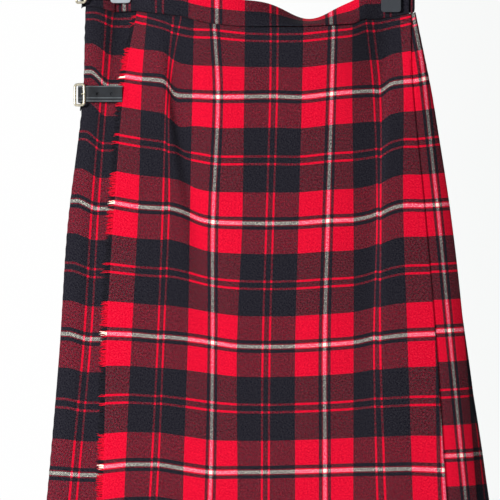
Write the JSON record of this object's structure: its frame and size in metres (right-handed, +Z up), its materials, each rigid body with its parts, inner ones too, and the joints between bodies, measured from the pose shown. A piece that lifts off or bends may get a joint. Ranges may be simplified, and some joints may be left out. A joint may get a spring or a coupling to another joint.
{
  "type": "kilt on clip hanger",
  "caption": "Tartan wrap kilt hanging from a clip hanger: flat fringed over apron, knife pleats at the side and back, leather straps with buckles at the left.",
  "frame": {"origin": "inside of the crown of the hanger's hook, where it rests on a rail", "axes": "+X to the right of the front as it is seen, +Y from the front to the back, +Z up"},
  "size_m": [0.5531, 0.076, 0.8294],
  "materials": {
    "tartan": "red and black twill wool with thin white lines",
    "tartan_pleats": "the same twill wool, folded in knife pleats",
    "tartan_band": "the same twill wool, doubled as a waistband",
    "fringe_yarn": "short soft frayed wool",
    "black_leather": "smooth satin black with a stitched edge",
    "pale_brass": "polished pale brass",
    "hanger_steel": "bright steel wire",
    "silver_pad": "pale silver",
    "grey_pad": "dark grey, matt"
  },
  "bodies": {
    "root": {"over_apron": "tartan", "apron_fringe": "fringe_yarn", "pleated_back": "tartan_pleats", "under_apron": "tartan", "waistband_over_apron": "tartan_band", "waistband_back": "tartan_band", "waistband_under_apron": "tartan_band", "strap_hip": "black_leather", "tab_hip": "black_leather", "buckle_hip": "pale_brass", "prong_hip": "pale_brass", "strap_waist": "black_leather", "tab_waist": "black_leather", "buckle_waist": "pale_brass", "prong_waist": "pale_brass", "hanger_hook": "hanger_steel", "hanger_bar": "hanger_steel", "clip_left_front": "silver_pad", "clip_left_back": "silver_pad", "clip_left_pivot": "hanger_steel", "clip_right_front": "grey_pad", "clip_right_back": "grey_pad", "clip_right_pivot": "hanger_steel"}
  },
  "joints": []
}
